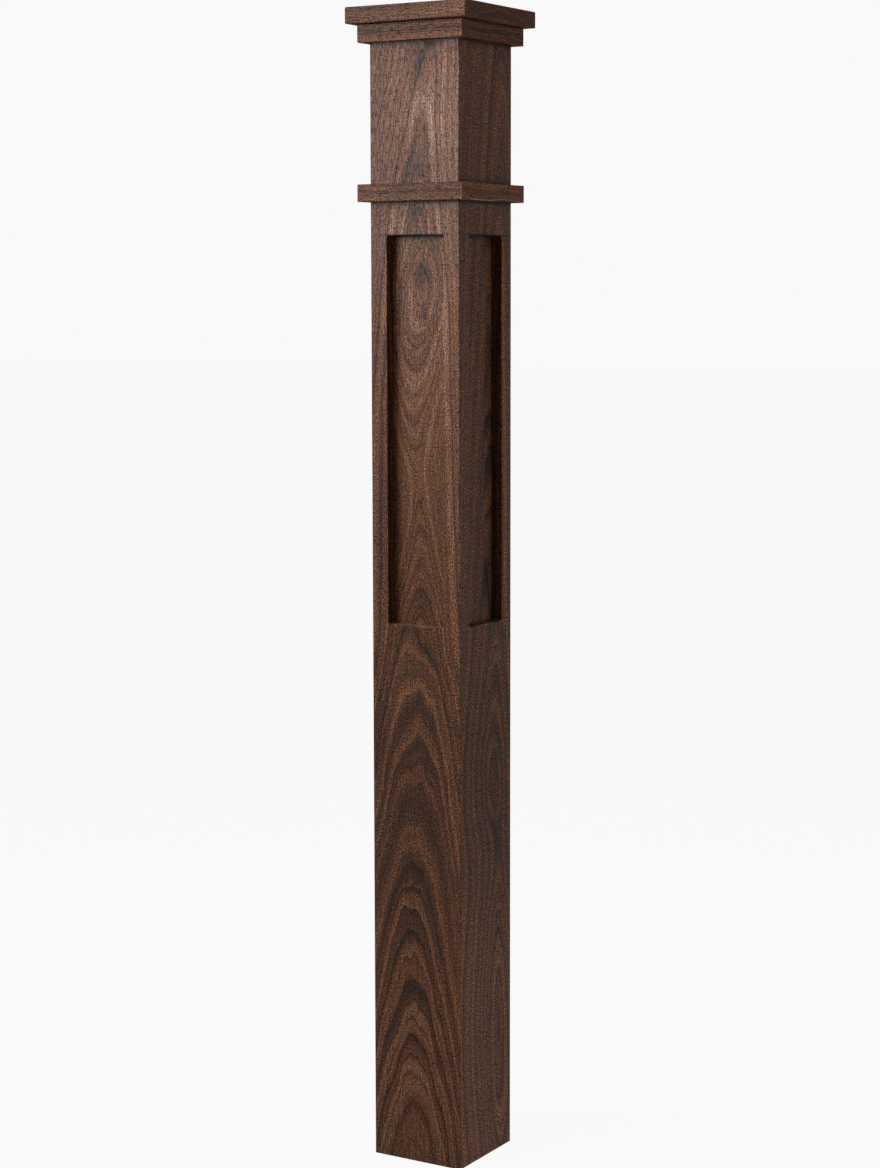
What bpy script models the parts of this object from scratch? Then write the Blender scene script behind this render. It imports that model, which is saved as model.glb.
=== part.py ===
"""Box newel post in walnut: a hollow square box of four mitred boards with a sunk panel in each side.

Metres, +Z up. The post stands on z = 0 with its axis on the Z axis, and its front faces -Y.
"""

import math

import bmesh
import bpy
from mathutils import Matrix

# Overall sizes
POST_HEIGHT = 1.4445
BODY_WIDTH = 0.127
BOARD_THICKNESS = 0.019

# How deep the under-cap moulding and the neck band are let into the boards
HOUSING_DEPTH = 0.001

# Moulding under the cap, standing out from the body
UNDER_CAP_PROJECTION = 0.0112
UNDER_CAP_HEIGHT = 0.022

# Cap, overhanging that moulding on every side
CAP_OVERHANG = 0.0108
CAP_THICKNESS = 0.020

# Neck band, and the plain block between it and the under-cap moulding
UPPER_BLOCK_HEIGHT = 0.1708
NECK_BAND_PROJECTION = 0.0118
NECK_BAND_HEIGHT = 0.0213

# Window in each board: the rail above it, the stile on each side of it, and its corners
RAIL_HEIGHT = 0.0409
WINDOW_HEIGHT = 0.4815
STILE_WIDTH = 0.0232
WINDOW_CORNER_RADIUS = 0.0032
WINDOW_CORNER_SEGMENTS = 4

# Panel glued behind each window, where the boards are rebated to the depth of the recess
RECESS_DEPTH = 0.014
PANEL_THICKNESS = 0.005
PANEL_END_LAP = 0.020

# Space left between two glued faces
GLUE_GAP = 0.0003

# Heights that follow
CAP_UNDERSIDE_Z = POST_HEIGHT - CAP_THICKNESS
BOARD_TOP_Z = CAP_UNDERSIDE_Z - GLUE_GAP
UNDER_CAP_BOTTOM_Z = BOARD_TOP_Z - UNDER_CAP_HEIGHT
NECK_BAND_TOP_Z = UNDER_CAP_BOTTOM_Z - UPPER_BLOCK_HEIGHT
NECK_BAND_BOTTOM_Z = NECK_BAND_TOP_Z - NECK_BAND_HEIGHT
WINDOW_TOP_Z = NECK_BAND_BOTTOM_Z - RAIL_HEIGHT
WINDOW_BOTTOM_Z = WINDOW_TOP_Z - WINDOW_HEIGHT
PANEL_TOP_Z = WINDOW_TOP_Z + PANEL_END_LAP
PANEL_BOTTOM_Z = WINDOW_BOTTOM_Z - PANEL_END_LAP

# Widths that follow
CAP_WIDTH = BODY_WIDTH + 2 * (UNDER_CAP_PROJECTION + CAP_OVERHANG)
WINDOW_WIDTH = BODY_WIDTH - 2 * STILE_WIDTH
HOUSED_WIDTH = BODY_WIDTH - 2 * HOUSING_DEPTH
REBATED_WIDTH = BODY_WIDTH - 2 * RECESS_DEPTH
PANEL_FACE_WIDTH = REBATED_WIDTH - 2 * GLUE_GAP
PANEL_WIDTH = PANEL_FACE_WIDTH - 2 * (PANEL_THICKNESS + GLUE_GAP)

# Sides of the post, with the turn about Z that brings a front piece there
SIDES = {"front": 0.0, "right": 90.0, "back": 180.0, "left": 270.0}

# Base colour and roughness of each kind of piece
WALNUT = {
    "side_board": ((0.115, 0.058, 0.036), 0.50),
    "recessed_panel": ((0.105, 0.052, 0.032), 0.50),
    "under_cap_moulding": ((0.100, 0.048, 0.029), 0.48),
    "neck_band": ((0.098, 0.047, 0.028), 0.48),
    "cap_board": ((0.102, 0.050, 0.031), 0.47),
}


def clear_scene():
    """Remove every object and collection the file opened with."""
    for obj in list(bpy.data.objects):
        bpy.data.objects.remove(obj, do_unlink=True)
    for collection in list(bpy.data.collections):
        bpy.data.collections.remove(collection)


def new_collection(name):
    """A collection of the scene for the pieces or for the cutters."""
    collection = bpy.data.collections.new(name)
    bpy.context.scene.collection.children.link(collection)
    return collection


def walnut_material(name, kind):
    """A plain walnut for one piece, in the colour of its kind."""
    colour, roughness = WALNUT[kind]
    material = bpy.data.materials.new(name)
    material.use_nodes = True
    shader = material.node_tree.nodes["Principled BSDF"]
    shader.inputs["Base Color"].default_value = (*colour, 1.0)
    shader.inputs["Roughness"].default_value = roughness
    shader.inputs["Metallic"].default_value = 0.0
    material.diffuse_color = (*colour, 1.0)
    return material


def box_mesh(bm, width, depth, low_z, high_z, front_y):
    """Add a box centred on x = 0, with its front face at front_y and its body behind it."""
    centre = Matrix.Translation((0.0, front_y + depth / 2, (low_z + high_z) / 2))
    size = Matrix.Diagonal((width, depth, high_z - low_z, 1.0))
    return bmesh.ops.create_cube(bm, size=1.0, matrix=centre @ size)["verts"]


def mesh_from(bm, name):
    """Turn the bmesh into mesh data and free it."""
    bmesh.ops.recalc_face_normals(bm, faces=bm.faces)
    mesh = bpy.data.meshes.new(name)
    bm.to_mesh(mesh)
    bm.free()
    return mesh


def mitred_mesh(name, outer_width, thickness, low_z, high_z):
    """A front strip of a square ring, its ends mitred at 45 degrees and set back by half the glue gap."""
    setback = GLUE_GAP / math.sqrt(2)
    outer_half = outer_width / 2 - setback
    bm = bmesh.new()
    verts = box_mesh(bm, 2 * outer_half, thickness, low_z, high_z, -outer_width / 2)
    middle_y = -outer_width / 2 + thickness / 2
    for vert in verts:
        if vert.co.y > middle_y:
            vert.co.x -= math.copysign(thickness, vert.co.x)
    return mesh_from(bm, name)


def plain_mesh(name, width, thickness, low_z, high_z, front_y):
    """A plain rectangular board with square edges."""
    bm = bmesh.new()
    box_mesh(bm, width, thickness, low_z, high_z, front_y)
    return mesh_from(bm, name)


def place_around(collection, kind, mesh):
    """Stand one copy of the front mesh on each side of the post."""
    for side, turn in SIDES.items():
        piece = bpy.data.objects.new(f"{kind}_{side}", mesh.copy())
        piece.rotation_euler.z = math.radians(turn)
        piece.data.name = piece.name
        piece.data.materials.append(walnut_material(piece.name, kind))
        collection.objects.link(piece)
    bpy.data.meshes.remove(mesh)


def new_cutter(collection, name, mesh):
    """Link the mesh as an object that only cuts."""
    cutter = bpy.data.objects.new(name, mesh)
    cutter.hide_render = True
    cutter.display_type = "WIRE"
    collection.objects.link(cutter)
    return cutter


def window_cutter(collection):
    """A bar through the front board, with its four long edges rounded."""
    bm = bmesh.new()
    box_mesh(bm, WINDOW_WIDTH, BODY_WIDTH / 2, WINDOW_BOTTOM_Z, WINDOW_TOP_Z, -0.75 * BODY_WIDTH)
    along_y = [e for e in bm.edges if abs(e.verts[0].co.y - e.verts[1].co.y) > BODY_WIDTH / 4]
    bmesh.ops.bevel(
        bm,
        geom=along_y,
        offset=WINDOW_CORNER_RADIUS,
        offset_type="OFFSET",
        segments=WINDOW_CORNER_SEGMENTS,
        profile=0.5,
        affect="EDGES",
    )
    return new_cutter(collection, "window_cutter", mesh_from(bm, "window_cutter"))


def rebate_cutter(collection):
    """A square bar inside the post that thins the boards behind the windows."""
    low_z = PANEL_BOTTOM_Z - GLUE_GAP
    high_z = PANEL_TOP_Z + GLUE_GAP
    mesh = plain_mesh("rebate_cutter", REBATED_WIDTH, REBATED_WIDTH, low_z, high_z, -REBATED_WIDTH / 2)
    return new_cutter(collection, "rebate_cutter", mesh)


def housing_cutter(collection, name, low_z, high_z):
    """A slab against the front board that lets a strip into its face."""
    front_y = -HOUSED_WIDTH / 2 - BODY_WIDTH
    mesh = plain_mesh(name, 2 * BODY_WIDTH, BODY_WIDTH, low_z, high_z, front_y)
    return new_cutter(collection, name, mesh)


def side_boards(collection, cutter_collection):
    """Four full-height boards, mitred along both long edges, with a window through each.

    One front board is cut, and its finished mesh stands on every side.
    """
    whole = mitred_mesh("whole_board", BODY_WIDTH, BOARD_THICKNESS, 0.0, BOARD_TOP_Z)
    board = bpy.data.objects.new("whole_board", whole)
    cutter_collection.objects.link(board)
    cutters = (
        window_cutter(cutter_collection),
        rebate_cutter(cutter_collection),
        housing_cutter(
            cutter_collection, "neck_housing", NECK_BAND_BOTTOM_Z - GLUE_GAP, NECK_BAND_TOP_Z + GLUE_GAP
        ),
        housing_cutter(
            cutter_collection, "top_housing", UNDER_CAP_BOTTOM_Z - GLUE_GAP, POST_HEIGHT
        ),
    )
    for cutter in cutters:
        cut = board.modifiers.new(cutter.name, "BOOLEAN")
        cut.operation = "DIFFERENCE"
        cut.solver = "EXACT"
        cut.object = cutter
    evaluated = board.evaluated_get(bpy.context.evaluated_depsgraph_get())
    place_around(collection, "side_board", bpy.data.meshes.new_from_object(evaluated))
    bpy.data.objects.remove(board, do_unlink=True)
    bpy.data.meshes.remove(whole)


def recessed_panels(collection):
    """A thin flat panel across the back of each window, lapping it all round."""
    front_y = -PANEL_FACE_WIDTH / 2
    mesh = plain_mesh("recessed_panel", PANEL_WIDTH, PANEL_THICKNESS, PANEL_BOTTOM_Z, PANEL_TOP_Z, front_y)
    place_around(collection, "recessed_panel", mesh)


def strip_ring(collection, kind, projection, low_z, high_z):
    """Four mitred strips around the body, let into it, that stand out from it by the projection."""
    outer_width = BODY_WIDTH + 2 * projection
    thickness = projection + HOUSING_DEPTH - GLUE_GAP
    place_around(collection, kind, mitred_mesh(kind, outer_width, thickness, low_z, high_z))


def cap_board(collection):
    """One flat square board on top of the boards and the moulding."""
    mesh = plain_mesh("cap_board", CAP_WIDTH, CAP_WIDTH, CAP_UNDERSIDE_Z, POST_HEIGHT, -CAP_WIDTH / 2)
    mesh.materials.append(walnut_material("cap_board", "cap_board"))
    collection.objects.link(bpy.data.objects.new("cap_board", mesh))


def build_post():
    """Build every piece of the post."""
    clear_scene()
    pieces = new_collection("box_newel_post")
    side_boards(pieces, new_collection("cutters"))
    recessed_panels(pieces)
    strip_ring(pieces, "neck_band", NECK_BAND_PROJECTION, NECK_BAND_BOTTOM_Z, NECK_BAND_TOP_Z)
    strip_ring(pieces, "under_cap_moulding", UNDER_CAP_PROJECTION, UNDER_CAP_BOTTOM_Z, BOARD_TOP_Z)
    cap_board(pieces)


build_post()
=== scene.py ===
"""Box newel post in walnut: eased edges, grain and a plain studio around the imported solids.

Metres, +Z up. The post stands on z = 0 and its front faces -Y. It is laid out as an add-on and run as a
script.
"""

import math

import bmesh
import bpy
from bpy.props import FloatProperty, FloatVectorProperty, IntProperty, PointerProperty
from mathutils import Matrix, Vector


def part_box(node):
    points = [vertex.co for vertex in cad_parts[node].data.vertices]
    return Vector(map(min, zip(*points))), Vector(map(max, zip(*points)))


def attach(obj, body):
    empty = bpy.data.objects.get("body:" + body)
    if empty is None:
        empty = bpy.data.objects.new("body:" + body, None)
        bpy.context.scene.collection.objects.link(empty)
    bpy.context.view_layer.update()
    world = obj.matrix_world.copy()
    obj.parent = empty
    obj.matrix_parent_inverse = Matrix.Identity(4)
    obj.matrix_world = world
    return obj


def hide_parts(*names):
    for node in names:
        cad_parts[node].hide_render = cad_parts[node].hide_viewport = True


bl_info = {
    "name": "Box Newel Post",
    "version": (1, 0, 0),
    "blender": (4, 5, 0),
    "location": "View3D > Sidebar > Newel Post",
    "description": "Dresses a walnut box newel post and lights it in a plain studio",
    "category": "Object",
}

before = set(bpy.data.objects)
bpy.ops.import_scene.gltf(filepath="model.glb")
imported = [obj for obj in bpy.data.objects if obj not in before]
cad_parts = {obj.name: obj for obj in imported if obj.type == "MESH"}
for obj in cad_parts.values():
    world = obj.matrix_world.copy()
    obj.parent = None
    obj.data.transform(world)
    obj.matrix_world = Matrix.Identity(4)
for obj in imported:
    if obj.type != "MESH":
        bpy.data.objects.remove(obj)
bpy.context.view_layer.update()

# Sides of the post, with the turn about Z that brings the front there
SIDES = {"front": 0.0, "right": 90.0, "back": 180.0, "left": 270.0}

# What the frame says of the body, the cap and the panels
BODY_HALF = -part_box("side_board_front")[0].y
BOARD_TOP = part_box("side_board_front")[1].z
CAP_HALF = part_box("cap_board")[1].x
PANEL_FACE = -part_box("recessed_panel_front")[0].y

# Heights of the windows' heads and sills
WINDOW_HEAD = 1.1692
WINDOW_SILL = 0.6877

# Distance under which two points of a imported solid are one, and under which a point lies on a face
MERGE = 1e-6
ON_FACE = 1e-5

# Faces narrower than this belong to an eased edge and are shaded smooth
STRIP_WIDTH = 0.002

# Facets of the eased edges around the windows and of the panels, which are too fine to need more
RIM_STEPS = 2
PANEL_STEPS = 1

WHITE = (1.0, 1.0, 1.0, 1.0)


class NewelEasing(bpy.types.PropertyGroup):
    """How far the edges are rounded."""

    arris: FloatProperty(
        name="Arris",
        description="Radius of the eased edges of the boards and the cap",
        default=0.0011,
        unit="LENGTH",
        precision=5,
    )
    strip_arris: FloatProperty(
        name="Strip arris",
        description="Radius of the eased edges of the neck band and the under-cap moulding",
        default=0.0009,
        unit="LENGTH",
        precision=5,
    )
    window_arris: FloatProperty(
        name="Window arris",
        description="Radius of the eased edge around each window",
        default=0.0004,
        unit="LENGTH",
        precision=5,
    )
    steps: IntProperty(name="Steps", description="Facets of an eased edge", default=3, min=1, max=8)


class NewelWalnut(bpy.types.PropertyGroup):
    """The colours and gloss of the wood."""

    darkest: FloatVectorProperty(
        name="Darkest",
        description="Colour of the darkest lines",
        default=(0.020, 0.0110, 0.0075),
        subtype="COLOR",
    )
    dark: FloatVectorProperty(
        name="Dark",
        description="Colour of the dark bands",
        default=(0.052, 0.0218, 0.0112),
        subtype="COLOR",
    )
    middle: FloatVectorProperty(
        name="Middle",
        description="Colour of most of the wood",
        default=(0.104, 0.0408, 0.0182),
        subtype="COLOR",
    )
    warm: FloatVectorProperty(
        name="Warm",
        description="Colour of the orange-brown bands",
        default=(0.170, 0.0710, 0.0335),
        subtype="COLOR",
    )
    pale: FloatVectorProperty(
        name="Pale",
        description="Colour of the palest streaks",
        default=(0.250, 0.152, 0.112),
        subtype="COLOR",
    )
    roughness: FloatProperty(
        name="Roughness",
        description="Roughness of the satin finish",
        default=0.42,
        min=0.0,
        max=1.0,
    )
    gloss: FloatProperty(
        name="Gloss",
        description="Strength of the finish's reflection, where 0.5 is a plain varnish",
        default=0.15,
        min=0.0,
        max=1.0,
    )
    band_gloss: FloatProperty(
        name="Band gloss",
        description="The same for the cap and the strips, whose grain lies level",
        default=0.10,
        min=0.0,
        max=1.0,
    )


class NewelStudio(bpy.types.PropertyGroup):
    """The lights and the backdrop."""

    key: FloatProperty(
        name="Key",
        description="Power of the near softbox at the left",
        default=21.0,
        unit="POWER",
    )
    top: FloatProperty(
        name="Top",
        description="Power of the softbox overhead",
        default=18.0,
        unit="POWER",
    )
    front: FloatProperty(
        name="Front",
        description="Power of the tall dim panel at the front",
        default=2.5,
        unit="POWER",
    )
    side: FloatProperty(
        name="Side",
        description="Power of the strip light at the right",
        default=8.0,
        unit="POWER",
    )
    rim: FloatProperty(
        name="Rim",
        description="Power of the tall panel behind the right side",
        default=5.4,
        unit="POWER",
    )
    bounce: FloatProperty(
        name="Bounce",
        description="Power of the light that the pale floor returns",
        default=6.8,
        unit="POWER",
    )
    low: FloatProperty(
        name="Low",
        description="Power of each of the two small lights near the floor",
        default=4.4,
        unit="POWER",
    )
    room: FloatProperty(
        name="Room",
        description="Brightness of the room as the wood sees it",
        default=0.10,
    )
    backdrop: FloatProperty(
        name="Backdrop",
        description="Brightness of the backdrop as the camera sees it",
        default=0.948,
    )


# Nodes


class Graph:
    """Short ways to add nodes to a tree."""

    def __init__(self, tree):
        self.tree = tree

    def add(self, kind, **settings):
        """A new node with its settings."""
        node = self.tree.nodes.new(kind)
        for name, value in settings.items():
            setattr(node, name, value)
        return node

    def feed(self, socket, value):
        """Link a socket to an output, or set its value."""
        if isinstance(value, bpy.types.NodeSocket):
            self.tree.links.new(value, socket)
        else:
            socket.default_value = value

    def fill(self, node, **values):
        """Feed the node's inputs by name, with an underscore for a space."""
        for name, value in values.items():
            self.feed(node.inputs[name.replace("_", " ")], value)
        return node

    def math(self, operation, *values, clamp=False):
        """One math node."""
        node = self.add("ShaderNodeMath", operation=operation, use_clamp=clamp)
        for socket, value in zip(node.inputs, values):
            self.feed(socket, value)
        return node.outputs[0]

    def stretch(self, value, low, high, to_low=0.0, to_high=1.0, smooth=False):
        """Map the value from one range to another, clamped."""
        shape = "SMOOTHSTEP" if smooth else "LINEAR"
        node = self.add("ShaderNodeMapRange", interpolation_type=shape)
        for socket, number in zip(node.inputs, (value, low, high, to_low, to_high)):
            self.feed(socket, number)
        return node.outputs[0]

    def point(self, x, y, z):
        """A vector from three values."""
        node = self.add("ShaderNodeCombineXYZ")
        for socket, value in zip(node.inputs, (x, y, z)):
            self.feed(socket, value)
        return node.outputs[0]

    def parts(self, vector):
        """The three values of a vector."""
        node = self.add("ShaderNodeSeparateXYZ")
        self.feed(node.inputs[0], vector)
        return node.outputs

    def noise(self, where, scale, detail=2.0, roughness=0.5):
        """A noise in space, or along a line when only a number is given."""
        line = where.type == "VALUE"
        node = self.add("ShaderNodeTexNoise", noise_dimensions="1D" if line else "3D")
        self.feed(node.inputs["W" if line else "Vector"], where)
        return self.fill(node, Scale=scale, Detail=detail, Roughness=roughness).outputs[0]

    def centred(self, value):
        """The value around 0 instead of around a half."""
        return self.math("SUBTRACT", value, 0.5)

    def grain(self, place, pattern, detail=2.0, roughness=0.5):
        """A noise with the fineness of the pattern, drawn out along the grain by its share."""
        fineness, share = pattern
        drawn = self.add("ShaderNodeVectorMath", operation="MULTIPLY")
        self.feed(drawn.inputs[0], place)
        self.feed(drawn.inputs[1], (1.0, 1.0, share))
        return self.noise(drawn.outputs[0], fineness, detail, roughness)

    def curve(self, value, points):
        """A smooth curve through (place, height) points."""
        places = [place for place, height in points]
        heights = [height for place, height in points]
        low, high = places[0], places[-1]
        base, top = min(heights), max(heights)
        if top == base:
            return base
        node = self.add("ShaderNodeFloatCurve")
        self.feed(node.inputs["Value"], self.stretch(value, low, high))
        knots = node.mapping.curves[0].points
        shares = [
            ((place - low) / (high - low), (height - base) / (top - base)) for place, height in points
        ]
        knots[0].location = shares[0]
        knots[1].location = shares[-1]
        for share in shares[1:-1]:
            knots.new(*share)
        node.mapping.update()
        return self.math("MULTIPLY_ADD", node.outputs[0], top - base, base)


# Patterns in the wood: how fine each is, in cycles per metre, and its share of that along the grain
FIBRES = (430.0, 0.06)
FLECKS = (740.0, 0.60)
PORES = (900.0, 0.12)
WOBBLE = (22.0, 0.20)
RIPPLE = (90.0, 0.22)

# How far three of them push the rings aside
WOBBLE_PUSH = 0.0110
RIPPLE_PUSH = 0.0014
FIBRE_PUSH = 0.0006


def add_numbers(tree, in_out, *names):
    """Give the group sockets that each hold a number."""
    for name in names:
        tree.interface.new_socket(name, in_out=in_out, socket_type="NodeSocketFloat")


def growth_group():
    """How the wood grew: rings that wander along the board, with the fibres, flecks and pores."""
    tree = bpy.data.node_groups.new("Growth", "ShaderNodeTree")
    add_numbers(tree, "INPUT", "Along", "Across", "Depth", "Seed", "Ring")
    add_numbers(tree, "OUTPUT", "Ring", "Fibre", "Fleck", "Pore")
    g = Graph(tree)
    given = g.add("NodeGroupInput").outputs
    along, across, depth, seed, ring = (given[i] for i in range(5))
    place = g.point(across, depth, g.math("ADD", along, seed))

    fibre = g.grain(place, FIBRES, 3.0, 0.62)
    fleck = g.stretch(g.grain(place, FLECKS, 1.0, 0.6), 0.28, 0.72)
    pore = g.stretch(g.grain(place, PORES, 0.0), 0.56, 0.70)
    wobble = g.centred(g.grain(place, WOBBLE))
    ripple = g.centred(g.grain(place, RIPPLE, 2.0, 0.6))
    ring = g.math("MULTIPLY_ADD", wobble, WOBBLE_PUSH, ring)
    ring = g.math("MULTIPLY_ADD", ripple, RIPPLE_PUSH, ring)
    ring = g.math("MULTIPLY_ADD", g.centred(fibre), FIBRE_PUSH, ring)

    result = g.add("NodeGroupOutput").inputs
    for socket, value in zip(result, (ring, fibre, fleck, pore)):
        g.feed(socket, value)
    return tree


# Cycles per metre of ring of the bands, of the hairlines and of the years' ends
BANDS_FINENESS = 190.0
HAIRLINES_FINENESS = 700.0
YEARS_PER_METRE = 360.0

# Years of unequal width: how fine that change is, and by how many years it moves their ends
UNEVEN_FINENESS = 45.0
UNEVEN_PUSH = 2.2

# Dark line at a year's end: how suddenly it ends, how fine the change of its strength is, and its range
LINE_SHARPNESS = 4.0
LINE_FINENESS = 70.0
LINE_STRENGTHS = (0.06, 0.52)

# How far each pattern moves the tone, which runs from 0 for the darkest wood to 1 for the palest
BANDS_TONE = 0.48
HAIRLINES_TONE = 0.32
FIBRES_TONE = 0.40
# Paler along the arrises: partly wear, partly a painted highlight
WEAR_AND_HIGHLIGHT_TONE = 0.10

# Factor on the colour: its mean, what the flecks, fibres and pores add to it, and its least
DOTS_MEAN = 1.10
FLECKS_DOTS = 3.10
FIBRES_DOTS = 1.40
PORES_DOTS = -0.30
DOTS_LEAST = 0.25

# What the patterns add to the roughness, and the relief of two of them against the pores' depth
PORES_ROUGH = 0.20
FLECKS_ROUGH = 0.08
WEAR_ROUGH = -0.06
FIBRES_RELIEF = 0.4
FLECKS_RELIEF = 0.35

# How far apart the rings of two pieces are read, for each unit of their seeds
SEED_STEP = 3.1


def finish_group(walnut):
    """The colour, gloss and texture of the wood, from its rings and fibres."""
    tree = bpy.data.node_groups.new("Finish", "ShaderNodeTree")
    names = ("Ring", "Fibre", "Fleck", "Pore", "Figure", "Wear", "Seed", "Speckle")
    add_numbers(tree, "INPUT", *names)
    tree.interface.new_socket("Colour", in_out="OUTPUT", socket_type="NodeSocketColor")
    add_numbers(tree, "OUTPUT", "Roughness", "Height")
    g = Graph(tree)
    given = g.add("NodeGroupInput").outputs
    ring, fibre, fleck, pore, figure, wear_and_highlight, seed, speckle = (given[i] for i in range(len(names)))

    # Bands and hairlines of colour that follow the rings
    years = g.math("MULTIPLY_ADD", seed, SEED_STEP, ring)
    bands = g.centred(g.noise(years, BANDS_FINENESS, 2.0, 0.6))
    tone = g.math("MULTIPLY_ADD", bands, BANDS_TONE, figure)
    hairlines = g.centred(g.noise(years, HAIRLINES_FINENESS, 1.0))
    tone = g.math("MULTIPLY_ADD", hairlines, HAIRLINES_TONE, tone)

    # Thin dark line where each year's growth ends, with years of unequal width
    year = g.math("MULTIPLY", years, YEARS_PER_METRE)
    year = g.math("MULTIPLY_ADD", g.noise(years, UNEVEN_FINENESS, 0.0), UNEVEN_PUSH, year)
    line = g.math("POWER", g.math("FRACT", year), LINE_SHARPNESS)
    strength = g.stretch(g.noise(years, LINE_FINENESS, 0.0), 0.36, 0.64, *LINE_STRENGTHS)
    tone = g.math("SUBTRACT", tone, g.math("MULTIPLY", line, strength))
    tone = g.math("MULTIPLY_ADD", g.centred(fibre), FIBRES_TONE, tone)
    # Paler along the arrises: partly wear, partly a painted highlight
    tone = g.math("MULTIPLY_ADD", wear_and_highlight, WEAR_AND_HIGHLIGHT_TONE, tone, clamp=True)

    ramp = g.add("ShaderNodeValToRGB")
    stops = (
        (0.02, walnut.darkest),
        (0.30, walnut.dark),
        (0.55, walnut.middle),
        (0.80, walnut.warm),
        (1.00, walnut.pale),
    )
    while len(ramp.color_ramp.elements) < len(stops):
        ramp.color_ramp.elements.new(0.5)
    for element, (place, colour) in zip(ramp.color_ramp.elements, stops):
        element.position = place
        element.color = (*colour, 1.0)
    g.feed(ramp.inputs[0], tone)

    # Flecks, fibres and pores, as strong in the dark bands as in the pale ones
    flecks = g.math("MULTIPLY", g.centred(fleck), FLECKS_DOTS)
    dots = g.math("MULTIPLY_ADD", flecks, speckle, DOTS_MEAN)
    dots = g.math("MULTIPLY_ADD", g.centred(fibre), FIBRES_DOTS, dots)
    dots = g.math("MULTIPLY_ADD", pore, PORES_DOTS, dots)
    dotted = g.add("ShaderNodeVectorMath", operation="SCALE")
    g.feed(dotted.inputs[0], ramp.outputs[0])
    g.feed(dotted.inputs["Scale"], g.math("MAXIMUM", dots, DOTS_LEAST))

    # Pores are dull and sunk, and worn arrises are smoother
    rough = g.math("MULTIPLY_ADD", pore, PORES_ROUGH, walnut.roughness)
    rough = g.math("MULTIPLY_ADD", g.centred(fleck), FLECKS_ROUGH, rough)
    rough = g.math("MULTIPLY_ADD", wear_and_highlight, WEAR_ROUGH, rough)
    height = g.math("SUBTRACT", g.math("MULTIPLY", fibre, FIBRES_RELIEF), pore)
    height = g.math("MULTIPLY_ADD", fleck, FLECKS_RELIEF, height)
    result = g.add("NodeGroupOutput").inputs
    for socket, value in zip(result, (dotted.outputs[0], rough, height)):
        g.feed(socket, value)
    return tree


class Cut:
    """How one piece was cut from its tree.

    face is how far its face stands from the post's axis, and turn brings it to the front. half, low and
    high are the piece's extent, where its arrises wear and take a painted highlight. pith, taper and drift
    are (place along, distance) points: how far behind the face the heart of the tree lies, how the rings
    climb along the piece, and how far aside the heart runs. bands are (ring, tone) points, with 0 dark and
    1 pale, and they pass into the plain tone between the two distances of fade. ground is (place along,
    change of tone) points. patches are soft spots of darker or paler wood and painted lines of shade and
    highlight, each (across, up, half width, half height, change of tone). speckle is (place along,
    strength) points for the flecks of its face.
    """

    def __init__(
        self,
        face,
        half,
        low,
        high,
        pith,
        taper,
        drift,
        bands,
        seed,
        turn=0.0,
        upright=True,
        fade=(0.1, 0.2),
        plain=0.5,
        ground=((0.0, 0.0), (1.0, 0.0)),
        patches=(),
        speckle=((0.0, 1.0), (1.0, 1.0)),
    ):
        self.face = face
        self.half = half
        self.low = low
        self.high = high
        self.pith = pith
        self.taper = taper
        self.drift = drift
        self.bands = bands
        self.seed = seed
        self.turn = turn
        self.upright = upright
        self.fade = fade
        self.plain = plain
        self.ground = ground
        self.patches = patches
        self.speckle = speckle


# Distances from an arris between which its wear and its painted highlight fade out
WEAR_HIGHLIGHT_FULL = 0.0004
WEAR_HIGHLIGHT_NONE = 0.0017

# Depths behind a face between which its flecks fade to their strength inside the windows
FACE_DEPTH = 0.001
INNER_DEPTH = 0.003
INNER_SPECKLE = 0.5

# Relief of the fibres and pores
BUMP_STRENGTH = 0.6
BUMP_DISTANCE = 0.0005


def soft_spots(g, side, up, patches):
    """The sum of the soft spots of darker or paler wood."""
    total = 0.0
    for centre, height, half_width, half_height, change in patches:
        x = g.math("DIVIDE", g.math("SUBTRACT", side, centre), half_width)
        y = g.math("DIVIDE", g.math("SUBTRACT", up, height), half_height)
        away = g.math("MULTIPLY_ADD", x, x, g.math("MULTIPLY", y, y))
        spot = g.math("EXPONENT", g.math("MULTIPLY", away, -1.0))
        total = g.math("MULTIPLY_ADD", spot, change, total)
    return total


def arris_wear_and_highlight(g, cut, side, inward, up):
    """Wear and painted highlight: 1 along the piece's arrises and 0 away from them."""
    x = g.math("SUBTRACT", cut.half, g.math("ABSOLUTE", side))
    y = g.math("SUBTRACT", cut.face, g.math("ABSOLUTE", inward))
    z = g.math("MINIMUM", g.math("SUBTRACT", up, cut.low), g.math("SUBTRACT", cut.high, up))
    upper = g.math("MINIMUM", g.math("MAXIMUM", x, y), z)
    second = g.math("MAXIMUM", g.math("MINIMUM", x, y), upper)
    return g.stretch(second, WEAR_HIGHLIGHT_FULL, WEAR_HIGHLIGHT_NONE, 1.0, 0.0)


def shared_group(name, make, *values):
    """The node group of that name, made once."""
    return bpy.data.node_groups.get(name) or make(*values)


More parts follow.
